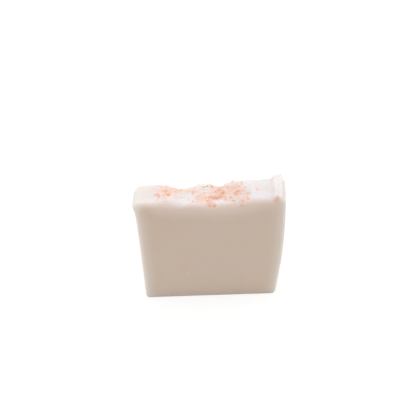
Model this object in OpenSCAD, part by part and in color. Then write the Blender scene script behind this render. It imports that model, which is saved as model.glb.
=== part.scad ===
// A slice of handmade soap, cut from a loaf and standing on its base.
// The two large faces are knife cuts, the two narrow sides and the base are moulded,
// and the top is the loaf's own crust, uneven and set with coarse pink salt.
// X runs along the cut faces, Y through the slice, and Z up. The origin is the middle of the base.

/* [Slice] */
// Width of the base, between the two moulded sides
base_w = 73.2; // [58:0.2:92]
// Height from the base to the general level of the crust
bar_h = 71; // [50:0.5:90]
// Thickness between the two cut faces
slice_t = 18; // [14:0.5:30]
// Degrees by which the knife went off square to the loaf
cut_askew = 3.7; // [0:0.1:6]

/* [Moulded sides] */
// How far the left side leans out on its way up
left_lean = 4; // [0:0.1:6]
// How far the left side is drawn in at half its height
left_hollow = 0.2; // [0:0.1:2]
// How far the crust swells out over the left side
left_lip = 1.4; // [0:0.1:2]
// How far the right side leans out on its way up
right_lean = 2.2; // [0:0.1:6]
// How far the right side bellies out at half its height
right_belly = 1.5; // [0:0.1:3]
// Radius of the two long edges at the base
mould_corner_r = 1.6; // [0.8:0.1:4]

/* [Edges] */
// Radius where a cut face rolls into the crust
crust_edge_r = 3; // [1.5:0.1:4]
// Radius where a cut face meets a moulded side
side_edge_r = 1.5; // [0.6:0.1:2]
// Radius where a cut face meets the base
base_edge_r = 0.7; // [0.4:0.1:1.4]
// Radius where the crust rolls over into the left side
shoulder_r = 4.6; // [2:0.1:6]

/* [Crust] */
// Share of their full depth that the hollows and swells of the crust have
relief = 1; // [0:0.05:1.3]
// Height of the rim where the soap climbed the right wall of the mould
rim_h = 3.1; // [0:0.1:4]
// Width of that rim
rim_w = 4.9; // [3:0.1:8]
// Width of the ledge outside the rim
ledge_w = 2.2; // [1.8:0.1:3]
// Depth of that ledge below the crust
ledge_d = 1; // [0:0.1:2.5]
// Radius of the ledge's outer edge
ledge_r = 1.5; // [0.4:0.1:1.6]
// Height of the lumps round the salt
lump_h = 0.9; // [0:0.05:1.5]
// Spacing of those lumps
lump_pitch = 5; // [4:0.1:9]
// Height of the crumbs on the lumps
crumb_h = 0.45; // [0:0.05:0.8]
// Spacing of those crumbs
crumb_pitch = 2.2; // [1.8:0.1:4]
// Half the length of the rough stretch
rough_half_l = 27; // [15:1:30]

/* [Salt] */
// Width of the finest crystals
salt_min = 1.1; // [1:0.05:1.4]
// Width of the coarsest of the scattered crystals
salt_max = 2.1; // [1.5:0.05:2.5]
// Share of a crystal's width that is sunk in the crust
salt_sunk = 0.5; // [0.45:0.01:0.6]
// Smallest gap between two crystals
salt_gap = 0.15; // [0.1:0.05:1]
// Number of crystals thrown on the crust, most of which miss the salted patches
salt_thrown = 420; // [50:10:700]

/* [Hidden] */

// Widest part of the slice, at the crust
crust_left = base_w / 2 + left_lean + left_lip;
crust_right = base_w / 2 + right_lean;
rim_out = crust_right - ledge_w;
rim_in = rim_out - rim_w;

// Places on the crust are given across the loaf, from its middle, and along it.
// Hollows and swells: middle across and along, reach across and along, height
crust_forms = [
    [-31.5, 5, 16, 14, -0.9],
    [-15.9, 8, 8.6, 13, -2.8],
    [-5.1, 2, 17, 30, -1.1],
    [3.7, 8, 4.3, 8, -2.7],
    [7.4, -7, 15, 12, -1],
    [-27.6, -7, 10, 10, 0.6],
    [18.5, 7, 13, 9, 0.6],
    [28.4, -6, 13, 12, 1],
    [34.6, 6, 11, 12, 1.4],
];
// Stretch at the back that set smooth: middle across and along, reach across and along
smooth_patch = [20, 10, 10, 9];

// Patches that caught the salt: the same numbers, then the share of the thrown crystals kept there
salt_patches = [
    [-25, 0.5, 8.5, 9, 0.8],
    [-15.9, 5.5, 8, 5, 0.6],
    [-6.8, -3, 6, 7, 0.5],
    [1.6, -1, 8, 11, 1],
    [8.1, -1, 7, 9, 0.9],
    [13.2, -3, 8, 8, 0.9],
    [11.7, 5, 10, 6, 0.35],
    [16.5, -8, 7, 5, 0.8],
];

// The coarsest crystals: place across and along, width, colour grade
coarse_salt = [
    [-27.6, -3.2, 1.8, 2],
    [-24.4, 5.4, 1.7, 1],
    [-22.7, -2.3, 1.9, 2],
    [-17.9, -2.9, 1.5, 0],
    [-9.9, 1.3, 1.8, 2],
    [-7.7, -4.2, 1.6, 1],
    [0.1, 4.9, 1.8, 2],
    [-1, -3.1, 1.8, 2],
    [1.1, -3.4, 1.9, 2],
    [3.1, -3.2, 1.6, 2],
    [5, -2.6, 1.8, 2],
    [5.6, 0.6, 1.9, 2],
    [3.2, 4, 2.2, 1],
    [12, -0.9, 1.9, 1],
    [14.2, -0.5, 2.3, 1],
    [12.8, -3.3, 1.8, 2],
    [14.1, 2.5, 1.7, 2],
    [23.8, -0.6, 1.6, 0],
    [-1.1, -slice_t / 2 + 1.3, 1.6, 2],
    [1.4, -slice_t / 2 + 1.1, 1.6, 2],
    [16.2, -slice_t / 2 + 2.1, 1.7, 1],
    [19, -slice_t / 2 + 2.4, 1.8, 1],
    [rim_in + rim_w / 2, -slice_t / 2 + 1.1, 2, 2],
];

// Pits that air bubbles left in the front cut: place across, Z, width
pits = [
    [11.8, bar_h - 17.4, 1.3],
    [-12.8, 19.1, 1.7],
    [-9.3, bar_h - 24, 1],
    [9.2, bar_h - 24, 0.9],
];
// Share of a pit's width that lies below the cut face
pit_sunk = 0.4;

// Width of the slope up to the rim
rim_slope = 0.7;
// Width of the slope down from the rim to the ledge
ledge_slope = 0.8;
// Height of the rim's inner side, and of its front end, as shares of its height
rim_inner_share = 0.55;
rim_front_share = 0.45;
// Width over which the rough stretch fades out at each end
rough_fade = 8;
// Spacing of the points along the crust
step = 1;
// Number of chords in each rounded edge
edge_chords = 5;
// Number of chords in a moulded side
side_chords = 8;
// Height over which the lip swells out, and the number of chords in it
lip_drop = 5;
lip_chords = 4;
// Width at each side within which the crust is drawn in where the slice is narrower
draw_w = 12;
// Shares of the thrown crystals that are pale, and that are pale or coral
pale_share = 0.5;
coral_share = 0.88;
// Number of corners of a crystal, and how near its middle the nearest may be, as a share of the farthest
crystal_corners = 9;
crystal_reach = 0.72;
golden_angle = 137.5;
salt_seed = 40;
lump_seed = 11;
crumb_seed = 71;

function mix(a, b, share) = a + (b - a) * share;
// Smooth change from 0 to 1 as t goes from 0 to 1
function ease(t) = t <= 0 ? 0 : t >= 1 ? 1 : t * t * (3 - 2 * t);
// Depth of a rounded edge of radius r, at a distance u from the face it meets
function roll(u, r) = u >= r ? 0 : r - sqrt(r * r - (r - u) * (r - u));
// Height of a smooth round form at a place, as a share of its height in the middle
function form_share(x, y, form) =
    let (u2 = pow((x - form[0]) / form[2], 2) + pow((y - form[1]) / form[3], 2))
    u2 >= 1 ? 0 : pow(1 - u2 * u2, 2);
function sum(list) = list * [for (i = list) 1];
// Distance from a place in the slice to the nearer cut face
function depth_in(y) = max(0, slice_t / 2 - abs(y));
// How far the loaf's middle has moved over at y
function skew(y) = y * tan(cut_askew);

// Random heights from -1 to 1 on a square lattice that covers the crust
function lattice(pitch, seed) = [
    for (j = [0:ceil(slice_t / pitch) + 2])
        rands(-1, 1, ceil((crust_left + crust_right) / pitch) + 3, seed + j)
];
lumps = lattice(lump_pitch, lump_seed);
crumbs = lattice(crumb_pitch, crumb_seed);
// Smooth height between the lattice's points
function lattice_z(heights, pitch, x, y) =
    let (gx = (x + crust_left) / pitch, gy = (y + slice_t / 2) / pitch, i = floor(gx), j = floor(gy))
    let (fx = ease(gx - i), fy = ease(gy - j))
    mix(mix(heights[j][i], heights[j][i + 1], fx), mix(heights[j + 1][i], heights[j + 1][i + 1], fx), fy);

// How rough the crust is at a place, from 0 to 1
function roughness(x, y) = ease((rough_half_l - abs(x)) / rough_fade) * (1 - form_share(x, y, smooth_patch));
// Height that the rim adds, highest at its outer side and at the back
function rim_z(x, y) =
    let (up = ease((x - rim_in) / rim_slope), down = ease((x - rim_out) / ledge_slope))
    let (across = mix(rim_inner_share, 1, (x - rim_in) / rim_w))
    let (along = mix(rim_front_share, 1, ease(y / slice_t + 0.5)))
    rim_h * across * along * up * (1 - down);
// Height of the crust before its edges are rounded
function crust_z(x, y) =
    bar_h + relief * sum([for (form = crust_forms) form[4] * form_share(x, y, form)])
    + roughness(x, y) * lump_h * lattice_z(lumps, lump_pitch, x, y)
    + roughness(x, y) * crumb_h * lattice_z(crumbs, crumb_pitch, x, y)
    + rim_z(x, y) - ledge_d * ease((x - rim_out) / ledge_slope);
// Height of the finished crust
function top_z(x, y) =
    crust_z(x, y) - roll(depth_in(y), crust_edge_r) - roll(max(0, x + crust_left), shoulder_r)
    - roll(max(0, crust_right - x), ledge_r);

// How far the lip has swelled out at a height, from 0 to 1
function lip_share(z) = ease((z - bar_h + shoulder_r) / lip_drop + 1);
// Distance of each moulded side from the middle at a height
function left_x(z) =
    base_w / 2 + left_lean * z / bar_h - left_hollow * sin(180 * z / bar_h) + left_lip * lip_share(z);
function right_x(z) = base_w / 2 + right_lean * z / bar_h + right_belly * sin(180 * z / bar_h);

// Evenly spaced values from a up to, and without, b
function span(a, b) =
    let (n = max(1, round((b - a) / step)))
    [for (i = [0:n - 1]) mix(a, b, i / n)];
// Distances from a face at which a rounded edge of radius r has its points
function edge_steps(r) = [for (i = [0:edge_chords - 1]) r * (1 - cos(90 * i / edge_chords))];
function reversed(list) = [for (i = [len(list) - 1:-1:0]) list[i]];

// Points along the crust from left to right
crust_xs = concat(
    [for (u = edge_steps(shoulder_r)) -crust_left + u],
    span(-crust_left + shoulder_r, rim_in),
    span(rim_in, rim_out),
    span(rim_out, crust_right - ledge_r),
    [for (u = reversed(edge_steps(ledge_r))) crust_right - u]
);
// Sections through the slice from the front cut face to the back one
section_ys = concat(
    [for (u = edge_steps(crust_edge_r)) -slice_t / 2 + u],
    span(-slice_t / 2 + crust_edge_r, slice_t / 2 - crust_edge_r),
    [slice_t / 2 - crust_edge_r],
    [for (u = reversed(edge_steps(crust_edge_r))) slice_t / 2 - u]
);

// Quarter circle in a bottom corner, from one angle round to the next
function corner(x, z, from) = [
    for (i = [0:edge_chords - 1])
        let (turn = from + 90 * i / edge_chords)
        [x + mould_corner_r * cos(turn), z + mould_corner_r * sin(turn)]
];
// Outline of the slice at y, as places across and Z: base, right side, crust from right to left, left side
function section(y) =
    let (in_side = roll(depth_in(y), side_edge_r), in_base = roll(depth_in(y), base_edge_r))
    let (in_lip = roll(depth_in(y), shoulder_r) - in_side)
    let (corner_x = base_w / 2 - in_side - mould_corner_r, corner_z = in_base + mould_corner_r)
    let (left_top = top_z(-crust_left, y), right_top = top_z(crust_right, y), lip_z = left_top - lip_drop)
    let (narrow_left = crust_left - left_x(left_top) + in_side + in_lip * lip_share(left_top))
    let (narrow_right = crust_right - right_x(right_top) + in_side)
    let (left_zs = concat(
        [for (i = [1:side_chords - 1]) mix(corner_z, lip_z, i / (side_chords - 1))],
        [for (i = [1:lip_chords - 1]) mix(lip_z, left_top, i / lip_chords)]))
    concat(
        corner(-corner_x, corner_z, 180),
        corner(corner_x, corner_z, 270),
        [for (i = [0:side_chords - 1])
            let (z = mix(corner_z, right_top, i / side_chords))
            [right_x(z) - in_side, z]],
        [for (x = reversed(crust_xs))
            let (from_left = x + crust_left, from_right = crust_right - x)
            [x + narrow_left * ease(1 - from_left / draw_w) - narrow_right * ease(1 - from_right / draw_w),
                top_z(x, y)]],
        [for (z = reversed(left_zs)) [in_side + in_lip * lip_share(z) - left_x(z), z]]
    );

// Solid skinned over the sections
module uncut_slice() {
    sections = [for (y = section_ys) [for (p = section(y)) [p[0] + skew(y), y, p[1]]]];
    n = len(sections[0]);
    last = len(sections) - 1;
    polyhedron(
        points = [for (s = sections) each s],
        faces = concat(
            [[for (i = [n - 1:-1:0]) i]],
            [for (s = [0:last - 1], i = [0:n - 1])
                let (a = s * n + i, b = s * n + (i + 1) % n)
                each [[a, b, a + n], [b, b + n, a + n]]],
            [[for (i = [0:n - 1]) last * n + i]]
        )
    );
}

// One crystal as it lands: place across and along, width, colour grade, and how hard it is to catch
function thrown(i) =
    let (luck = rands(0, 1, 5, salt_seed + i))
    [
        mix(-crust_left + shoulder_r, rim_in, luck[0]),
        mix(-0.5, 0.5, luck[1]) * (slice_t - 2 * salt_max),
        mix(salt_min, salt_max, pow(luck[2], 2)),
        luck[3] < pale_share ? 0 : luck[3] < coral_share ? 1 : 2,
        luck[4]
    ];
// Whether a crystal lies clear of all the others
function is_clear(c, others) =
    min([for (o = others) norm([c[0] - o[0], c[1] - o[1]]) - (c[2] + o[2]) / 2]) > salt_gap;
// Whether a crystal lands where the crust caught salt
function is_caught(c) = c[4] < max([for (patch = salt_patches) patch[4] * form_share(c[0], c[1], patch)]);
// All crystals, each new one kept where it is caught and clear of those before it
function throw_salt(i, kept) =
    i == salt_thrown ? kept
    : let (c = thrown(i))
      throw_salt(i + 1, is_caught(c) && is_clear(c, kept) ? concat(kept, [c]) : kept);
salt = throw_salt(0, coarse_salt);

// Corners spread evenly over a ball of the crystal's width, each pulled in by its own share
function crystal_points(width, reaches) =
    let (n = len(reaches))
    [
        for (k = [0:n - 1])
            let (rise = 1 - (2 * k + 1) / n, turn = golden_angle * k, out = sqrt(1 - rise * rise))
            [out * cos(turn), out * sin(turn), rise] * width / 2 * reaches[k]
    ];
// An irregular chip of salt with flat sides
module crystal(i) {
    c = salt[i];
    turns = rands(0, 360, 3, salt_seed + 7 * i);
    reaches = rands(crystal_reach, 1, crystal_corners, salt_seed + 7 * i + 3);
    translate([c[0] + skew(c[1]), c[1], top_z(c[0], c[1]) + c[2] * (0.5 - salt_sunk)])
        rotate(turns)
            hull()
                polyhedron(
                    points = crystal_points(c[2], reaches),
                    faces = [for (k = [1:crystal_corners - 2]) [0, k, k + 1]]
                );
}

module salt_of_grade(grade) {
    for (i = [0:len(salt) - 1])
        if (salt[i][3] == grade)
            crystal(i);
}

module soap_bar() {
    color([0.95, 0.91, 0.84])
        difference() {
            uncut_slice();
            for (i = [0:len(salt) - 1])
                crystal(i);
            for (pit = pits)
                translate([pit[0] + skew(-slice_t / 2), -slice_t / 2 - pit[2] * (0.5 - pit_sunk), pit[1]])
                    sphere(d = pit[2], $fn = 12);
        }
}

module salt_pale() {
    color([0.97, 0.85, 0.79])
        salt_of_grade(0);
}

module salt_coral() {
    color([0.94, 0.66, 0.55])
        salt_of_grade(1);
}

module salt_rust() {
    color([0.72, 0.4, 0.33])
        salt_of_grade(2);
}

soap_bar();
salt_pale();
salt_coral();
salt_rust();
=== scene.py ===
"""Dresses a standing slice of handmade soap, with a crust set with coarse pink salt."""

import math
import random

import bpy
import numpy as np
from mathutils import Euler, Matrix, Vector
from mathutils.bvhtree import BVHTree
from mathutils.kdtree import KDTree


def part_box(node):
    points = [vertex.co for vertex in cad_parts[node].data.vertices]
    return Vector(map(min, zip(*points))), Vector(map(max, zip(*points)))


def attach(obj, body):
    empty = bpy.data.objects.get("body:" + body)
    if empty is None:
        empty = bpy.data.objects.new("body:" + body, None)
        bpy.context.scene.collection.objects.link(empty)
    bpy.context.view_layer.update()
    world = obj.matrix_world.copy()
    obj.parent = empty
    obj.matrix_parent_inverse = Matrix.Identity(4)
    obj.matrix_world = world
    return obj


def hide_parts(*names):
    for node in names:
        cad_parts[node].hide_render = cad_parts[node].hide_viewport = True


bl_info = {
    "name": "Handmade Soap",
    "version": (1, 0, 0),
    "blender": (4, 5, 0),
    "location": "View3D > Sidebar > Soap",
    "description": "Models and finishes a slice of handmade soap on its packed solids",
    "category": "Object",
}

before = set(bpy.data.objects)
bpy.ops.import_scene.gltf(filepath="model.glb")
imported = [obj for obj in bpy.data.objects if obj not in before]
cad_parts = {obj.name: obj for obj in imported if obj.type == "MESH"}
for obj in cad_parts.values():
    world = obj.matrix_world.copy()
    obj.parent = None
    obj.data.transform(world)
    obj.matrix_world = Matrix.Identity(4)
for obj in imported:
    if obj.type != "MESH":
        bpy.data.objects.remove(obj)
MM = 0.001
BLACK, WHITE = (0, 0, 0), (1, 1, 1)
BAR_LOW, BAR_HIGH = [Vector(corner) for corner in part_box("soap_bar")]
# The three colours of salt, from the most common to the rarest
GRADES = ("pale", "coral", "rust")
# The photo's camera, fitted to the corners of the bar: place in m, tilt below level and turn in degrees
CAMERA_PLACE = (-0.02361, -0.3766, 0.4013)
CAMERA_TILT = 41.74
CAMERA_TURN = -2.64

# Sideways run of the slice for each mm of depth, because the knife went off square
SKEW = math.tan(math.radians(3.7))
# Patches of the crust that pink salt has stained, in mm: middle in X and Y, reach in X and Y, strength
STAINS = [
    (-23.3, 1.2, 4.4, 5, 1.0),
    (-27.8, -1.6, 3.4, 3.4, 0.38),
    (-25.8, -5, 3.6, 2.6, 0.38),
    (-21, -3, 3.6, 3, 0.45),
    (-15, 5.4, 7.5, 2.6, 0.65),
    (-15.5, -1.5, 6, 3, 0.15),
    (-9.7, 0.6, 2, 2, 0.4),
    (-3, -3.8, 5.5, 3.8, 0.8),
    (-2, -7, 5.5, 2.2, 0.55),
    (0, 3, 3, 4, 0.25),
    (3.8, 4.2, 3.6, 3.6, 1.0),
    (5.2, -0.6, 3.2, 3, 1.0),
    (1.2, -2.6, 4.2, 1.8, 1.0),
    (9.8, -5.4, 5.5, 3.6, 0.45),
    (9.4, 1.5, 4.4, 4, 0.6),
    (12.4, -2.4, 2.4, 1.8, 1.0),
    (13.9, -0.9, 2.4, 2, 1.0),
    (14, 2.6, 2.4, 2.2, 0.25),
    (17.5, -7.2, 3, 2.4, 0.5),
    (15.3, -8.6, 2.6, 2, 0.5),
    (0.3, -8.4, 4, 1.8, 0.45),
    (24.1, -1, 1.8, 1.8, 0.12),
    (21.8, -4.7, 2.2, 1.8, 0.12),
    (33.6, -8, 2.6, 1.8, 0.2),
]
# How far the crust comes down the cut faces, in mm: X, drop below the smoothed top edge
CRUST_DROPS = [
    (-36, -5),
    (-32.5, -2),
    (-30, 0.5),
    (-28, 1.3),
    (-8, 1.3),
    (-3, 1.9),
    (0, 2.6),
    (17, 2.6),
    (21, 1.8),
    (24, 0.4),
    (32, -1),
    (36, -4),
]
# Darker salt just under the skin of the crust, in mm: X, Y, height, reach, strength
SPECKS = [
    (-28.0, -1.7, 70.7, 0.8, 0.4),
    (-23.9, 2.1, 70.1, 0.9, 0.4),
    (-22.8, -1.6, 71.0, 0.9, 0.6),
    (-9.6, 1.5, 69.4, 0.9, 0.6),
    (0.4, 4.1, 70.0, 1.1, 0.5),
    (-1.6, -7.3, 67.5, 0.8, 0.4),
    (-0.8, -3.0, 69.5, 1.0, 0.7),
    (0.5, -3.0, 69.0, 0.8, 0.6),
    (2.0, -3.1, 68.9, 0.8, 0.5),
    (0.9, -8.3, 68.1, 0.8, 0.7),
    (4.3, -2.4, 69.2, 0.9, 1.0),
    (5.9, -0.2, 69.4, 1.0, 0.8),
    (12.2, -2.6, 71.3, 1.0, 0.8),
    (13.1, -1.3, 71.3, 1.0, 0.7),
    (15.2, -8.9, 68.2, 1.0, 0.4),
    (15.9, -7.0, 70.1, 1.0, 0.5),
    (23.8, -0.3, 71.6, 1.0, 0.3),
    (32.9, -8.7, 71.0, 1.4, 0.45),
]


def linear(red, green, blue):
    """A colour given from 0 to 255 as a screen shows it, in Blender's linear values."""
    shares = [value / 255 for value in (red, green, blue)]
    return tuple(s / 12.92 if s <= 0.04045 else ((s + 0.055) / 1.055) ** 2.4 for s in shares)


def mixed(first, second, share):
    """A colour between two colours."""
    return tuple(a + (b - a) * share for a, b in zip(first, second))


def smooth_share(values, zero_at, one_at):
    """Smooth change from 0 at one value to 1 at another, for an array of values."""
    share = np.clip((values - zero_at) / (one_at - zero_at), 0, 1)
    return share * share * (3 - 2 * share)


def pick(obj):
    """Selects one object alone and makes it the active one."""
    bpy.ops.object.select_all(action="DESELECT")
    obj.select_set(True)
    bpy.context.view_layer.objects.active = obj


def put_in_scene(name, mesh):
    """Puts a mesh in the scene as a new object at the origin."""
    obj = bpy.data.objects.new(name, mesh)
    bpy.context.scene.collection.objects.link(obj)
    pick(obj)
    return obj


def corners_of(mesh):
    """The places of a mesh's vertices as an array."""
    places = np.empty(len(mesh.vertices) * 3)
    mesh.vertices.foreach_get("co", places)
    return places.reshape(-1, 3)


def directions_of(mesh):
    """The directions that a mesh's vertices face, as an array."""
    normals = np.empty(len(mesh.vertices) * 3)
    mesh.vertex_normals.foreach_get("vector", normals)
    return normals.reshape(-1, 3)


def store(mesh, name, values):
    """Keeps one number for each vertex, for a material to read."""
    attribute = mesh.attributes.new(name, "FLOAT", "POINT")
    attribute.data.foreach_set("value", np.asarray(values, dtype=np.float32))


def feed(tree, socket, value):
    """Links an input to the socket that it is given, or sets it to a plain value."""
    if isinstance(value, bpy.types.NodeSocket):
        tree.links.new(value, socket)
    elif socket.type == "RGBA":
        socket.default_value = (*value[:3], 1)
    else:
        socket.default_value = value


def node(tree, kind, x, y, settings=None, **inputs):
    """Adds a node at a place in the tree; inputs are plain values or sockets to link from."""
    made = tree.nodes.new(kind)
    made.location = (x, y)
    for key, value in (settings or {}).items():
        setattr(made, key, value)
    for key, value in inputs.items():
        feed(tree, made.inputs[key.replace("_", " ")], value)
    return made


def maths(tree, x, y, operation, first, second, clamp=False):
    """Adds a Math node and gives its output."""
    made = node(tree, "ShaderNodeMath", x, y, {"operation": operation, "use_clamp": clamp})
    feed(tree, made.inputs[0], first)
    feed(tree, made.inputs[1], second)
    return made.outputs[0]


def blend(tree, x, y, share, first, second, kind="MIX"):
    """Adds a colour mix and gives its output."""
    made = node(tree, "ShaderNodeMix", x, y, {"data_type": "RGBA", "blend_type": kind})
    # A Mix node keeps its share first and its two colours at 6 and 7
    for index, value in ((0, share), (6, first), (7, second)):
        feed(tree, made.inputs[index], value)
    return made.outputs[2]


def ranged(tree, x, y, value, low, high, to_low=0.0, to_high=1.0):
    """Adds a smooth Map Range node and gives its output."""
    made = node(tree, "ShaderNodeMapRange", x, y, {"interpolation_type": "SMOOTHSTEP"},
                Value=value, From_Min=low, From_Max=high, To_Min=to_low, To_Max=to_high)
    return made.outputs["Result"]


def stored(tree, x, y, name):
    """Adds a node that reads a number kept on the mesh."""
    return node(tree, "ShaderNodeAttribute", x, y, {"attribute_name": name}).outputs["Fac"]


def mix_shaders(tree, x, y, share, first, second):
    """Adds a mix of two shader nodes and gives it."""
    made = node(tree, "ShaderNodeMixShader", x, y, Fac=share)
    tree.links.new(first.outputs[0], made.inputs[1])
    tree.links.new(second.outputs[0], made.inputs[2])
    return made


def new_material(name):
    """A material with an empty Principled shader; gives the material, its tree and the shader."""
    material = bpy.data.materials.new(name)
    material.use_nodes = True
    tree = material.node_tree
    shader = tree.nodes["Principled BSDF"]
    shader.location = (900, 0)
    tree.nodes["Material Output"].location = (1200, 0)
    return material, tree, shader


def mottle_group():
    """Cloudy change between two colours, with its mask and height; built once and used in every material."""
    name = "Mottle"
    if name in bpy.data.node_groups:
        return bpy.data.node_groups[name]
    tree = bpy.data.node_groups.new(name, "ShaderNodeTree")
    face = tree.interface
    face.new_socket("Vector", in_out="INPUT", socket_type="NodeSocketVector")
    for label in ("First Color", "Second Color"):
        face.new_socket(label, in_out="INPUT", socket_type="NodeSocketColor")
    defaults = {"Scale": 100.0, "Detail": 3.0, "Low": 0.35, "High": 0.65, "Amount": 1.0}
    for label, value in defaults.items():
        socket = face.new_socket(label, in_out="INPUT", socket_type="NodeSocketFloat")
        socket.default_value = value
    face.new_socket("Color", in_out="OUTPUT", socket_type="NodeSocketColor")
    for label in ("Mask", "Height"):
        face.new_socket(label, in_out="OUTPUT", socket_type="NodeSocketFloat")
    given = node(tree, "NodeGroupInput", -600, 0).outputs
    clouds = node(tree, "ShaderNodeTexNoise", -400, 0, Vector=given["Vector"],
                  Scale=given["Scale"], Detail=given["Detail"], Roughness=0.6)
    mask = ranged(tree, -200, 0, clouds.outputs[0], given["Low"], given["High"])
    share = maths(tree, 0, 0, "MULTIPLY", mask, given["Amount"])
    colour = blend(tree, 200, 0, share, given["First Color"], given["Second Color"])
    node(tree, "NodeGroupOutput", 400, 0, Color=colour, Mask=share, Height=clouds.outputs[0])
    return tree


def mottle(tree, x, y, coords, first=BLACK, second=WHITE, **values):
    """Places the mottle group between two colours, with values for its number inputs."""
    return node(tree, "ShaderNodeGroup", x, y, {"node_tree": mottle_group()},
                Vector=coords, First_Color=first, Second_Color=second, **values)


class SoapSettings(bpy.types.PropertyGroup):
    body_colour: bpy.props.FloatVectorProperty(
        name="Cut soap", description="Colour of the cut faces", subtype="COLOR",
        size=3, min=0, max=1, default=linear(225, 211, 201))
    warm_colour: bpy.props.FloatVectorProperty(
        name="Warm clouds", description="Second colour that clouds the cut faces", subtype="COLOR",
        size=3, min=0, max=1, default=linear(224, 206, 190))
    # The moulded sides' own drier skin, which is also painted as a glow along the sides of the cut faces
    skin_and_glow_colour: bpy.props.FloatVectorProperty(
        name="Moulded skin", description="Colour of the drier skin on the moulded sides", subtype="COLOR",
        size=3, min=0, max=1, default=linear(227, 224, 221))
    # Painted glow: light that enters the soap through the crust, painted on the cut faces just below it
    upper_glow_colour: bpy.props.FloatVectorProperty(
        name="Below the crust", description="Colour of the cut faces just below the crust", subtype="COLOR",
        size=3, min=0, max=1, default=linear(237, 224, 219))
    crust_colour: bpy.props.FloatVectorProperty(
        name="Crust", description="Colour of the bare crust", subtype="COLOR",
        size=3, min=0, max=1, default=linear(235, 230, 230))
    # Painted shade of the pores between the crumbs, laid as random clouds over the crust
    pore_shade_colour: bpy.props.FloatVectorProperty(
        name="Hollows", description="Colour between the crumbs of the crust", subtype="COLOR",
        size=3, min=0, max=1, default=linear(222, 217, 216))
    peach_colour: bpy.props.FloatVectorProperty(
        name="Peach stain", description="Colour of the crust round the salt", subtype="COLOR",
        size=3, min=0, max=1, default=linear(255, 219, 205))
    orange_colour: bpy.props.FloatVectorProperty(
        name="Orange stain", description="Colour of the crust where the stain is strongest", subtype="COLOR",
        size=3, min=0, max=1, default=linear(255, 199, 171))
    speck_colour: bpy.props.FloatVectorProperty(
        name="Speck", description="Colour of the darker salt under the skin of the crust", subtype="COLOR",
        size=3, min=0, max=1, default=linear(222, 164, 140))
    # Width of the painted glow along the moulded sides on the cut faces
    side_glow_width: bpy.props.FloatProperty(
        name="Skin width", description="Width of the drier edge on the cut faces",
        subtype="DISTANCE", unit="LENGTH", default=8.5 * MM, min=1 * MM, max=15 * MM)
    # Depth of the painted glow below the crust
    top_glow_depth: bpy.props.FloatProperty(
        name="Crust depth", description="Depth to which the crust pales the cut faces",
        subtype="DISTANCE", unit="LENGTH", default=11 * MM, min=2 * MM, max=15 * MM)
    fineness: bpy.props.FloatProperty(
        name="Fineness", description="Size of the faces that the bar is rebuilt with",
        subtype="DISTANCE", unit="LENGTH", default=0.45 * MM, min=0.4 * MM, max=1 * MM)
    crumb_height: bpy.props.FloatProperty(
        name="Crumb height", description="Height of the crumbs on the rough crust",
        subtype="DISTANCE", unit="LENGTH", default=0.23 * MM, min=0, max=1 * MM)
    crumb_size: bpy.props.FloatProperty(
        name="Crumb size", description="Spacing of the crumbs on the rough crust",
        subtype="DISTANCE", unit="LENGTH", default=1.3 * MM, min=0.8 * MM, max=4 * MM)
    glow: bpy.props.FloatProperty(
        name="Glow depth", description="How far light spreads inside the soap",
        subtype="DISTANCE", unit="LENGTH", default=6 * MM, min=0.1 * MM, max=10 * MM)


class SaltSettings(bpy.types.PropertyGroup):
    pale_colour: bpy.props.FloatVectorProperty(
        name="Pale salt", description="Colour of the palest crystals", subtype="COLOR",
        size=3, min=0, max=1, default=linear(255, 231, 220))
    coral_colour: bpy.props.FloatVectorProperty(
        name="Coral salt", description="Colour of the coral crystals", subtype="COLOR",
        size=3, min=0, max=1, default=linear(255, 213, 194))
    rust_colour: bpy.props.FloatVectorProperty(
        name="Rust salt", description="Colour of the darkest crystals", subtype="COLOR",
        size=3, min=0, max=1, default=linear(248, 192, 165))
    grit_count: bpy.props.IntProperty(
        name="Grit", description="Number of places where fine salt is tried", default=1500, min=1, max=4000)
    grit_small: bpy.props.FloatProperty(
        name="Finest grit", description="Width of the finest grit",
        subtype="DISTANCE", unit="LENGTH", default=0.42 * MM, min=0.2 * MM, max=0.8 * MM)
    grit_large: bpy.props.FloatProperty(
        name="Coarsest grit", description="Width of the coarsest grit",
        subtype="DISTANCE", unit="LENGTH", default=0.85 * MM, min=0.4 * MM, max=1.2 * MM)
    seed: bpy.props.IntProperty(
        name="Seed", description="Start of the random series that throws the grit", default=12, min=0)


class StudioSettings(bpy.types.PropertyGroup):
    sky: bpy.props.FloatProperty(
        name="Sky", description="Strength of the even light from all round", default=0.55, min=0, max=2)
    lamp_power: bpy.props.FloatProperty(
        name="Overhead lamp", description="Power of the overhead lamp", subtype="POWER", unit="POWER",
        default=2.9, min=0, max=100)
    side_power: bpy.props.FloatProperty(
        name="Side lamps", description="Power of each side lamp", subtype="POWER", unit="POWER",
        default=1.75, min=0, max=100)
    floor_size: bpy.props.FloatProperty(
        name="Floor size", description="Width of the floor",
        subtype="DISTANCE", unit="LENGTH", default=8.0, min=1, max=50)
    shadow_share: bpy.props.FloatProperty(
        name="Shadow", description="Share of the floor's look that its shadows darken",
        subtype="FACTOR", default=0.3, min=0, max=1)
    focal_length: bpy.props.FloatProperty(
        name="Focal length", description="Focal length of the camera in mm",
        subtype="DISTANCE_CAMERA", default=86.1, min=20, max=300)


def stain_strength(places, near=np.inf):
    """How strongly salt has stained each place, from 0 to 1; near is how far off the crystals are."""
    falloff, patch_share = 1.2, 0.85
    halo_share, halo_reach = 0.23, 1.5 * MM
    patches = np.zeros(len(places))
    for x, y, reach_x, reach_y, strength in STAINS:
        far = ((places[:, 0] / MM - x) / reach_x) ** 2 + ((places[:, 1] / MM - y) / reach_y) ** 2
        patches = np.maximum(patches, strength * np.exp(-far * falloff))
    halo = halo_share * np.exp(-((near / halo_reach) ** 2))
    return np.clip(patches * patch_share + halo, 0, 1)


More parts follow.
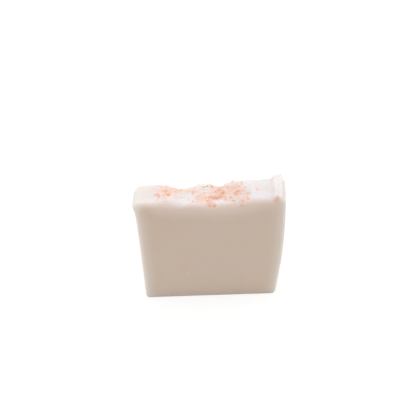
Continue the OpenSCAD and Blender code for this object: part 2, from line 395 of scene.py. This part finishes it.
def speck_strength(places):
    """How strongly darker salt shows through the crust at each place, from 0 to 1."""
    strengths = np.zeros(len(places))
    for x, y, z, reach, strength in SPECKS:
        far = np.linalg.norm(places / MM - (x, y, z), axis=1)
        strengths = np.maximum(strengths, strength * np.exp(-((far / reach) ** 2)))
    return strengths


def salt_distances(places):
    """Distance from each place to the nearest crystal's corner."""
    found = [corners_of(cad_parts[f"salt_{grade}"].data) for grade in GRADES]
    corners = np.unique(np.concatenate(found).round(6), axis=0)
    tree = KDTree(len(corners))
    for index, corner in enumerate(corners):
        tree.insert(corner, index)
    tree.balance()
    return np.array([tree.find(place)[2] for place in places])


def top_edge(places):
    """Smoothed height of the top edge of the nearer cut face, for each place on the bar."""
    # In columns of 1 mm: those left out at each end, where the bar is rounded, and those averaged
    skip_left, skip_right, averaged = 5, 3, 17
    face_depth = 4 * MM
    columns = np.round((places[:, 0] - BAR_LOW.x) / MM).astype(int).clip(0)
    edges = []
    for side in (-1, 1):
        tops = np.full(columns.max() + 1, BAR_LOW.z)
        near = places[:, 1] * side > BAR_HIGH.y - face_depth
        np.maximum.at(tops, columns[near], places[near, 2])
        pads = (skip_left + averaged // 2, skip_right + averaged // 2)
        padded = np.pad(tops[skip_left:-skip_right], pads, mode="edge")
        edges.append(np.convolve(padded, np.ones(averaged) / averaged, mode="valid"))
    return np.where(places[:, 1] < 0, edges[0][columns], edges[1][columns])


def side_distances(places):
    """Distance from each place on the bar to the nearer moulded side."""
    across = places[:, 0] - places[:, 1] * SKEW
    rows = np.round(places[:, 2] / MM).astype(int).clip(0)
    left = np.zeros(rows.max() + 1)
    right = np.zeros(rows.max() + 1)
    np.minimum.at(left, rows, across)
    np.maximum.at(right, rows, across)
    return np.minimum(across - left[rows], right[rows] - across)


class SOAP_OT_bar(bpy.types.Operator):
    """Model the bar over its solid, with a crumbly crust"""

    bl_idname = "soap.bar"
    bl_label = "Model the Bar"

    def execute(self, context):
        settings = context.scene.soap_bar
        bar = put_in_scene("soap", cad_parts["soap_bar"].data.copy())
        bar.data.materials.clear()
        self.rebuild(bar, settings)
        self.crumble(bar, settings)
        self.keep_numbers(bar, settings)
        bar.data.materials.append(self.soap_material(settings))
        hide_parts("soap_bar")
        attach(bar, "root")
        return {"FINISHED"}

    def rebuild(self, bar, settings):
        """Rebuilds the copied solid with small even faces and soft edges."""
        bpy.ops.object.mode_set(mode="EDIT")
        bpy.ops.mesh.select_all(action="SELECT")
        bpy.ops.mesh.remove_doubles(threshold=0.001 * MM)
        bpy.ops.object.mode_set(mode="OBJECT")
        remesh = bar.modifiers.new("Even faces", "REMESH")
        remesh.mode = "VOXEL"
        remesh.voxel_size = settings.fineness
        remesh.use_smooth_shade = True
        bpy.ops.object.modifier_apply(modifier=remesh.name)
        bpy.ops.object.shade_smooth()

    def crumble(self, bar, settings):
        """Raises crumbs on the crust, highest in its stains, and none against the crystals."""
        bare_share = 0.12
        grain_size, grain_height = 0.45 * settings.crumb_size, 0.6 * settings.crumb_height
        places = corners_of(bar.data)
        near = salt_distances(places)
        faces_up = smooth_share(directions_of(bar.data)[:, 2], 0.15, 0.65)
        near_top = smooth_share(places[:, 2] - BAR_HIGH.z, -11 * MM, -9 * MM)
        off_salt = smooth_share(near, 0.3 * MM, 1.5 * MM)
        stained = smooth_share(stain_strength(places, near), 0, 0.625)
        weights = faces_up * near_top * off_salt * (bare_share + (1 - bare_share) * stained)
        # The name is kept apart, because applying a modifier makes the group itself unsafe to read
        group_name = "rough crust"
        group = bar.vertex_groups.new(name=group_name)
        levels = 10
        for level in range(1, levels + 1):
            chosen = np.flatnonzero(np.round(weights * levels) == level)
            group.add(chosen.tolist(), level / levels, "REPLACE")
        for name, kind, size, height in (
            ("Crumbs", "VORONOI", settings.crumb_size, -settings.crumb_height),
            ("Grains", "CLOUDS", grain_size, grain_height),
        ):
            texture = bpy.data.textures.new(name, kind)
            texture.noise_scale = size
            relief = bar.modifiers.new(name, "DISPLACE")
            relief.texture = texture
            relief.texture_coords = "LOCAL"
            relief.direction = "NORMAL"
            relief.strength = height
            relief.mid_level = 0.5
            relief.vertex_group = group_name
            bpy.ops.object.modifier_apply(modifier=relief.name)

    def keep_numbers(self, bar, settings):
        """Keeps on the mesh how far each place is crust, skin with painted side glow, painted glow below the
        crust, stain and speck.
        """
        places = corners_of(bar.data)
        directions = directions_of(bar.data)
        level = places[:, 2] - top_edge(places)
        stations, drops = zip(*CRUST_DROPS)
        above = level + np.interp(places[:, 0] / MM, stations, drops) * MM

        # Past the shoulder at the left end, only what faces well up is crust
        steep = 0.42 + 0.3 * smooth_share(places[:, 0], -30 * MM, -33 * MM)
        on_top = smooth_share(directions[:, 2], steep, steep + 0.5) * (level > -7.3 * MM)
        rim = smooth_share(above, -0.9 * MM, 3.6 * MM)
        store(bar.data, "crust", np.maximum(on_top, rim))

        # Band along the moulded sides of the cut faces: painted glow of light that comes in through the
        # sides; the moulded faces keep their own paler skin
        side = smooth_share(side_distances(places), settings.side_glow_width, 0)
        moulded = smooth_share(np.abs(directions[:, 0]), 0.3, 0.7)
        store(bar.data, "skin", np.maximum(side, moulded))

        # Painted glow on the cut faces below the crust, where light comes in through the crust
        painted_glow = smooth_share(above, -settings.top_glow_depth, 0)
        # The pits left of the middle, well below the crust, get the same painted glow, which paints out the
        # shade inside them
        sunk = smooth_share(BAR_HIGH.y - np.abs(places[:, 1]), 0.05 * MM, 0.25 * MM)
        in_cut = smooth_share(np.abs(directions[:, 1]), 0.3, 0.6)
        low_left = (level < -9 * MM) * (places[:, 0] < 0)
        store(bar.data, "painted_glow", np.maximum(painted_glow, sunk * in_cut * low_left))

        not_under = smooth_share(directions[:, 2], -0.25, 0.3)
        on_crust = smooth_share(above, -1.35 * MM, 0.15 * MM)
        stain = stain_strength(places, salt_distances(places))
        store(bar.data, "stain", stain * not_under * on_crust)
        store(bar.data, "speck", speck_strength(places))

    def soap_material(self, settings):
        """Ivory cut soap that pales to a dry skin and a white crust, with painted glow near its sides and
        below the crust and painted shade between the crumbs, stained by the salt.
        """
        material, tree, shader = new_material("Handmade soap")
        coords = node(tree, "ShaderNodeTexCoord", -1500, 0).outputs["Object"]
        crust = stored(tree, -1500, -300, "crust")
        body = mottle(tree, -1200, 300, coords, settings.body_colour, settings.warm_colour,
                      Scale=55, Detail=4, Low=0.4, High=0.72, Amount=0.5)
        colour = self.skin_glow_and_crust_colour(tree, coords, crust, body, settings)
        colour = self.stained_colour(tree, coords, colour, settings)
        flecks = mottle(tree, -1200, 0, coords, WHITE, (0.98, 0.94, 0.91),
                        Scale=900, Detail=2, Low=0.55, High=0.8, Amount=0.5)
        colour = blend(tree, 200, 300, 0.35, colour, flecks.outputs["Color"], "MULTIPLY")
        tree.links.new(colour, shader.inputs["Base Color"])

        # The crust is rougher than the cut faces, and the clouds in the soap add a little
        rough = ranged(tree, 300, 0, crust, 0.0, 1.0, 0.48, 0.72)
        uneven = maths(tree, 300, -150, "MULTIPLY", body.outputs["Mask"], 0.08)
        rough = maths(tree, 500, 0, "ADD", rough, uneven)
        tree.links.new(rough, shader.inputs["Roughness"])
        bump = node(tree, "ShaderNodeBump", 600, -400, Height=self.relief_height(tree, coords, crust),
                    Distance=0.25 * MM, Strength=0.55)
        tree.links.new(bump.outputs[0], shader.inputs["Normal"])

        shader.inputs["Subsurface Weight"].default_value = 1.0
        shader.inputs["Subsurface Radius"].default_value = (1.0, 0.9, 0.8)
        shader.inputs["Subsurface Scale"].default_value = settings.glow
        shader.inputs["IOR"].default_value = 1.45
        shader.inputs["Specular IOR Level"].default_value = 0.35
        return material

    def skin_glow_and_crust_colour(self, tree, coords, crust, body, settings):
        """The cut soap, paler at its moulded skin, with painted glow along its sides and below the crust,
        and the crust with painted shade between its crumbs.
        """
        skin = stored(tree, -1500, -450, "skin")
        painted_glow = stored(tree, -1500, -600, "painted_glow")
        cloudy = ranged(tree, -1050, -100, body.outputs["Height"], 0.2, 0.8, 0.85, 1.0)
        skin = maths(tree, -900, -100, "MULTIPLY", skin, cloudy)
        # Moulded skin, and painted glow along the moulded sides
        colour = blend(tree, -700, 300, skin, body.outputs["Color"], settings.skin_and_glow_colour)
        # Painted glow below the crust and in the pits
        colour = blend(tree, -600, 300, painted_glow, colour, settings.upper_glow_colour)
        # The crust, with painted pore shade between its crumbs
        crumbs = mottle(tree, -1200, -750, coords, settings.crust_colour, settings.pore_shade_colour,
                        Scale=1000, Detail=3, Low=0.46, High=0.66, Amount=0.6)
        return blend(tree, -500, 300, crust, colour, crumbs.outputs["Color"])

    def stained_colour(self, tree, coords, colour, settings):
        """Adds peach patches, orange streaks where the stain is strongest, and darker specks."""
        stain = stored(tree, -1500, -750, "stain")
        patches = mottle(tree, -1200, -250, coords, Scale=240, Detail=3, Low=0.36, High=0.62)
        streaks = mottle(tree, -1200, -500, coords, Scale=480, Detail=2, Low=0.42, High=0.66)
        patchy = ranged(tree, -1050, -300, patches.outputs["Mask"], 0.0, 1.0, 0.7, 1.15)
        peach = maths(tree, -900, -300, "MULTIPLY", stain, patchy, clamp=True)
        peach = ranged(tree, -500, 0, peach, 0.0, 0.7)
        colour = blend(tree, -300, 300, peach, colour, settings.peach_colour)
        strongest = ranged(tree, -900, -500, stain, 0.45, 0.9)
        orange = maths(tree, -700, -500, "MULTIPLY", strongest, streaks.outputs["Mask"])
        orange = maths(tree, -300, 0, "MULTIPLY", orange, 0.95)
        colour = blend(tree, -100, 300, orange, colour, settings.orange_colour)
        return blend(tree, 0, 300, stored(tree, -300, -150, "speck"), colour, settings.speck_colour)

    def relief_height(self, tree, coords, crust):
        """The fine drag of the knife on the cut faces, and the grain of the crust."""
        stretched = node(tree, "ShaderNodeMapping", -1200, -800, Vector=coords, Scale=(0.12, 1.0, 1.0))
        drag = node(tree, "ShaderNodeTexNoise", -1000, -800,
                    Vector=stretched.outputs[0], Scale=420.0, Detail=3.0)
        grain = node(tree, "ShaderNodeTexNoise", -1000, -1000, Vector=coords, Scale=1500.0, Detail=4.0)
        cut_share = maths(tree, -850, -700, "SUBTRACT", 1.0, crust)
        cut = maths(tree, -700, -800, "MULTIPLY", drag.outputs[0], cut_share)
        cut = maths(tree, -500, -800, "MULTIPLY", cut, 0.12)
        grain_share = ranged(tree, -850, -1000, crust, 0.0, 1.0, 0.08, 0.45)
        crumb = maths(tree, -700, -1000, "MULTIPLY", grain.outputs[0], grain_share)
        return maths(tree, -300, -900, "ADD", cut, crumb)


def salt_material(name, light, deep, clear):
    """Cloudy faceted salt, between a light and a deep tint; clear is the share of light it lets in."""
    material, tree, shader = new_material(name)
    coords = node(tree, "ShaderNodeTexCoord", -900, 0).outputs["Object"]
    cloud = mottle(tree, -600, 100, coords, light, deep, Scale=420, Detail=3, Low=0.38, High=0.62)
    frost = mottle(tree, -600, -200, coords, Scale=2600, Detail=3, Low=0.4, High=0.7)
    frosted = maths(tree, -450, -100, "MULTIPLY", frost.outputs["Mask"], 0.25)
    colour = blend(tree, -300, 100, frosted, cloud.outputs["Color"], (0.97, 0.93, 0.9))
    tree.links.new(colour, shader.inputs["Base Color"])
    rough = ranged(tree, -300, -200, frost.outputs["Mask"], 0.0, 1.0, 0.42, 0.65)
    tree.links.new(rough, shader.inputs["Roughness"])
    bump = node(tree, "ShaderNodeBump", 500, -300, Height=frost.outputs["Height"],
                Distance=0.05 * MM, Strength=0.4)
    tree.links.new(bump.outputs[0], shader.inputs["Normal"])
    shader.inputs["IOR"].default_value = 1.54
    shader.inputs["Subsurface Weight"].default_value = clear
    shader.inputs["Subsurface Radius"].default_value = (1.0, 0.6, 0.45)
    shader.inputs["Subsurface Scale"].default_value = 0.1 * MM
    return material


class SOAP_OT_salt(bpy.types.Operator):
    """Finish the three grades of coarse salt on their own solids"""

    bl_idname = "soap.salt"
    bl_label = "Finish the Coarse Salt"

    def execute(self, context):
        salt = context.scene.soap_salt
        pale, coral, rust = salt.pale_colour, salt.coral_colour, salt.rust_colour
        materials = {
            "pale": salt_material("Pale salt", pale, mixed(pale, coral, 0.5), 0.3),
            "coral": salt_material("Coral salt", coral, mixed(coral, pale, 0.6), 0.3),
            "rust": salt_material("Rust salt", rust, mixed(rust, coral, 0.5), 0.2),
        }
        for grade in GRADES:
            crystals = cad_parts[f"salt_{grade}"]
            crystals.data.materials.clear()
            crystals.data.materials.append(materials[grade])
        return {"FINISHED"}


class SOAP_OT_grit(bpy.types.Operator):
    """Scatter fine salt over the stained crust"""

    bl_idname = "soap.grit"
    bl_label = "Scatter the Fine Salt"

    def execute(self, context):
        # Raised to these powers, most chips come out fine and most of them lie where the stain is strong
        fine_power, stain_power = 2.2, 1.4
        hold_share = 1.15
        salt = context.scene.soap_salt
        luck = random.Random(salt.seed)
        surface = BVHTree.FromObject(context.scene.objects["soap"], context.evaluated_depsgraph_get())
        chips = self.chips()
        throws = [self.throw(luck, surface) for _ in range(salt.grit_count)]
        places = np.array([place for place, *_ in throws])
        holds = hold_share * stain_strength(places) ** stain_power
        gaps = salt_distances(places)
        taken = []
        copies = {grade: [] for grade in GRADES}
        for (place, catch, size, shade, kind, turn), hold, gap in zip(throws, holds, gaps):
            width = salt.grit_small + (salt.grit_large - salt.grit_small) * size ** fine_power
            if catch <= hold and self.is_free(place, width, gap, taken):
                taken.append((place, width))
                copies[self.grade(shade)].append(self.seated(chips[kind], place, turn, width))
        for chip in chips:
            bpy.data.objects.remove(chip)
        for grade, meshes in copies.items():
            if meshes:
                self.gather(grade, meshes)
        return {"FINISHED"}

    def chips(self):
        """Models three irregular chips, each about one unit wide."""
        made = []
        # Size each way, then where and which way a corner is cut off
        for sizes, cut_at, cut_towards in (
            ((1, 0.8, 0.65), (0.3, 0, 0.1), (0.8, 0.3, 0.5)),
            ((1, 0.65, 0.8), (0.22, 0.1, 0.1), (0.8, 0, 0.5)),
            ((0.9, 1, 0.6), (0.36, 0.2, 0.1), (0.8, -0.3, 0.5)),
        ):
            bpy.ops.object.select_all(action="DESELECT")
            bpy.ops.mesh.primitive_ico_sphere_add(subdivisions=1, radius=0.5, location=(0, 0, 0))
            chip = bpy.context.object
            bpy.ops.object.mode_set(mode="EDIT")
            bpy.ops.transform.resize(value=sizes)
            bpy.ops.mesh.select_all(action="SELECT")
            bpy.ops.mesh.bisect(plane_co=cut_at, plane_no=cut_towards, use_fill=True, clear_outer=True)
            bpy.ops.object.mode_set(mode="OBJECT")
            made.append(chip)
        return made

    def throw(self, luck, surface):
        """Throws one chip on the crust; gives its place, catch, size, shade, kind and turn."""
        # Kept off the rounded ends of the crust and the edges of its cuts
        x = luck.uniform(BAR_LOW.x + 5 * MM, BAR_HIGH.x - 7 * MM)
        y = luck.uniform(BAR_LOW.y + 1 * MM, BAR_HIGH.y - 1 * MM)
        catch, size, shade, kind = luck.random(), luck.random(), luck.random(), luck.randrange(3)
        turn = Euler([luck.uniform(0, 2 * math.pi) for _ in range(3)])
        place = surface.ray_cast(Vector((x, y, BAR_HIGH.z + 5 * MM)), Vector((0, 0, -1)))[0]
        return place, catch, size, shade, kind, turn

    def is_free(self, place, width, gap, taken):
        """Tells if a chip lies clear of the crystals and of the chips that are taken."""
        crystal_gap, chip_spacing = 0.45 * MM, 0.55
        if gap < crystal_gap + width / 2:
            return False
        return all((place - other).length >= chip_spacing * (width + wide) for other, wide in taken)

    def grade(self, shade):
        """The colour of a chip; half of them are pale and only a few rust."""
        return "pale" if shade < 0.5 else "coral" if shade < 0.97 else "rust"

    def seated(self, chip, place, turn, width):
        """A copy of a chip's mesh at its size and turn, sunk by less than half in the crust."""
        lift = Vector((0, 0, width * 0.2))
        mesh = chip.data.copy()
        mesh.transform(Matrix.LocRotScale(place + lift, turn, Vector((width, width, width))))
        return mesh

    def gather(self, grade, meshes):
        """Joins all chips of one grade in one object with its grade's salt."""
        grit = put_in_scene(f"grit_{grade}", meshes[0])
        for index, mesh in enumerate(meshes[1:]):
            other = bpy.data.objects.new(f"chip_{index}", mesh)
            bpy.context.scene.collection.objects.link(other)
            other.select_set(True)
        bpy.context.view_layer.objects.active = grit
        bpy.ops.object.join()
        grit.data.materials.clear()
        grit.data.materials.append(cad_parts[f"salt_{grade}"].data.materials[0])
        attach(grit, "root")


class SOAP_OT_stage(bpy.types.Operator):
    """Set the white floor, the lamps and the camera"""

    bl_idname = "soap.stage"
    bl_label = "Set the Stage"

    def execute(self, context):
        studio = context.scene.soap_studio
        self.floor(studio)
        self.sky(context, studio)
        for name, place, size, power in (
            ("overhead", (0.0, 0.1, 0.9), 0.7, studio.lamp_power),
            ("left", (-0.8, 0.1, 0.45), 0.5, studio.side_power),
            ("right", (0.8, 0.1, 0.45), 0.5, studio.side_power),
        ):
            self.lamp(name, place, size, power)
        self.camera(context, studio)
        context.scene.view_settings.view_transform = "Standard"
        return {"FINISHED"}

    def camera(self, context, studio):
        """Adds the photo's camera and makes it the scene's."""
        data = bpy.data.cameras.new("camera")
        data.sensor_width = 36
        data.lens = studio.focal_length
        camera = bpy.data.objects.new("camera", data)
        camera.location = CAMERA_PLACE
        camera.rotation_euler = (math.radians(90 - CAMERA_TILT), 0, math.radians(CAMERA_TURN))
        context.scene.collection.objects.link(camera)
        context.scene.camera = camera

    def lamp(self, name, place, size, power):
        """Adds a square lamp that looks at the middle of the bar."""
        data = bpy.data.lights.new(name, "AREA")
        data.size = size
        data.energy = power
        lamp = bpy.data.objects.new(name, data)
        lamp.location = place
        aim = Vector((0, 0, BAR_HIGH.z / 2)) - lamp.location
        lamp.rotation_euler = aim.to_track_quat("-Z", "Y").to_euler()
        bpy.context.scene.collection.objects.link(lamp)

    def seen(self, tree, x, y):
        """Tells rays that show the background itself: those of the camera, gloss and glass."""
        path = node(tree, "ShaderNodeLightPath", x, y).outputs
        both = maths(tree, x + 200, y, "MAXIMUM", path["Is Camera Ray"], path["Is Glossy Ray"])
        return maths(tree, x + 400, y, "MAXIMUM", both, path["Is Transmission Ray"])

    def floor(self, studio):
        """Lays the floor under the bar."""
        bpy.ops.object.select_all(action="DESELECT")
        bpy.ops.mesh.primitive_plane_add(size=studio.floor_size, location=(0, 0, 0))
        floor = bpy.context.object
        floor.name = "floor"
        floor.data.materials.append(self.floor_material(studio))

    def floor_material(self, studio):
        """Plain white that keeps the bar's soft shadow, and is clear from below."""
        shadow_begins, shadow_ends = 0.12, 0.6
        full_light = 1.05
        material = bpy.data.materials.new("White floor")
        material.use_nodes = True
        tree = material.node_tree
        tree.nodes.clear()
        # What lights the bar from below is a little warm, and what the camera sees is white
        warm = node(tree, "ShaderNodeBsdfDiffuse", 0, 300, Color=(0.94, 0.87, 0.77))
        place = node(tree, "ShaderNodeTexCoord", -1000, 0).outputs["Object"]
        far = node(tree, "ShaderNodeVectorMath", -800, 0, {"operation": "LENGTH"}, Vector=place)
        share = ranged(tree, -600, 0, far.outputs["Value"], shadow_begins, shadow_ends,
                       studio.shadow_share, 0.0)
        shaded = node(tree, "ShaderNodeBsdfDiffuse", 0, 100, Color=share)
        light = node(tree, "ShaderNodeEmission", 0, -100, Color=WHITE,
                     Strength=maths(tree, -200, -100, "SUBTRACT", full_light, share))
        white = node(tree, "ShaderNodeAddShader", 200, 0)
        tree.links.new(shaded.outputs[0], white.inputs[0])
        tree.links.new(light.outputs[0], white.inputs[1])
        top = mix_shaders(tree, 400, 100, self.seen(tree, -500, 500), warm, white)
        clear = node(tree, "ShaderNodeBsdfTransparent", 400, -200)
        below = node(tree, "ShaderNodeNewGeometry", 200, 400).outputs["Backfacing"]
        both = mix_shaders(tree, 600, 0, below, top, clear)
        node(tree, "ShaderNodeOutputMaterial", 800, 0, Surface=both.outputs[0])
        return material

    def sky(self, context, studio):
        """Even light from all round, and white where the camera sees past the floor."""
        world = bpy.data.worlds.new("studio")
        world.use_nodes = True
        tree = world.node_tree
        tree.nodes.clear()
        even = node(tree, "ShaderNodeBackground", 0, 100, Color=WHITE, Strength=studio.sky)
        white = node(tree, "ShaderNodeBackground", 0, -100, Color=WHITE, Strength=1.0)
        both = mix_shaders(tree, 200, 0, self.seen(tree, -500, 300), even, white)
        node(tree, "ShaderNodeOutputWorld", 400, 0, Surface=both.outputs[0])
        context.scene.world = world


class SOAP_PT_panel(bpy.types.Panel):
    """Lists the soap's sizes, colours and operators"""

    bl_idname = "SOAP_PT_panel"
    bl_label = "Handmade Soap"
    bl_space_type = "VIEW_3D"
    bl_region_type = "UI"
    bl_category = "Soap"

    def draw(self, context):
        scene = context.scene
        for title, group, operators in (
            ("Bar", scene.soap_bar, ("soap.bar",)),
            ("Salt", scene.soap_salt, ("soap.salt", "soap.grit")),
            ("Studio", scene.soap_studio, ("soap.stage",)),
        ):
            box = self.layout.box()
            box.label(text=title)
            for name in group.__annotations__:
                box.prop(group, name)
            for name in operators:
                box.operator(name)


CLASSES = (
    SoapSettings,
    SaltSettings,
    StudioSettings,
    SOAP_OT_bar,
    SOAP_OT_salt,
    SOAP_OT_grit,
    SOAP_OT_stage,
    SOAP_PT_panel,
)


def register():
    for kind in CLASSES:
        bpy.utils.register_class(kind)
    bpy.types.Scene.soap_bar = bpy.props.PointerProperty(type=SoapSettings)
    bpy.types.Scene.soap_salt = bpy.props.PointerProperty(type=SaltSettings)
    bpy.types.Scene.soap_studio = bpy.props.PointerProperty(type=StudioSettings)


def unregister():
    del bpy.types.Scene.soap_studio
    del bpy.types.Scene.soap_salt
    del bpy.types.Scene.soap_bar
    for kind in reversed(CLASSES):
        bpy.utils.unregister_class(kind)


def main():
    """Builds the whole scene."""
    register()
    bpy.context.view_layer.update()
    bpy.ops.soap.bar()
    bpy.ops.soap.salt()
    bpy.ops.soap.grit()
    bpy.ops.soap.stage()
    bpy.context.view_layer.update()


if __name__ == "__main__":
    main()
